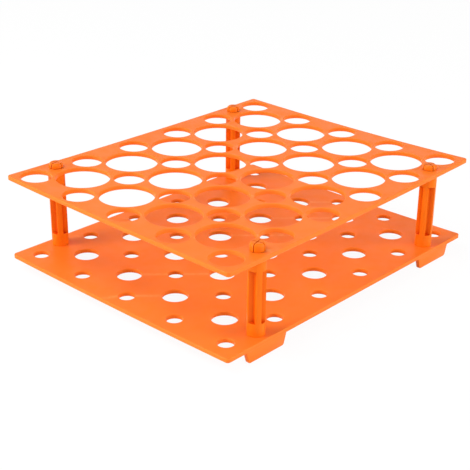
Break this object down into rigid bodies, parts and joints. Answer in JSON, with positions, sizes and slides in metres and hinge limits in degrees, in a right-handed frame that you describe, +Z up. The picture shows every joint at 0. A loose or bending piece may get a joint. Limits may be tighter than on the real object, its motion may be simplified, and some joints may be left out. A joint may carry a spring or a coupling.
{
  "type": "centrifuge tube rack",
  "caption": "Two-tier rack for centrifuge tubes: two perforated plastic plates held apart by fluted snap-in posts, standing on tabs under the lower plate.",
  "frame": {"origin": "middle of the footprint, on the surface that the feet stand on", "axes": "+X along the long edges, +Y from the front long edge to the rear one, +Z up"},
  "size_m": [0.205, 0.17, 0.0597],
  "materials": {
    "plate_plastic": "satin orange polypropylene, opaque",
    "post_plastic": "satin orange polypropylene, a little deeper than the plates"
  },
  "bodies": {
    "root": {"lower_plate": "plate_plastic", "upper_plate": "plate_plastic", "post_front_left": "post_plastic", "post_front_right": "post_plastic", "post_rear_left": "post_plastic", "post_rear_right": "post_plastic"}
  },
  "joints": []
}
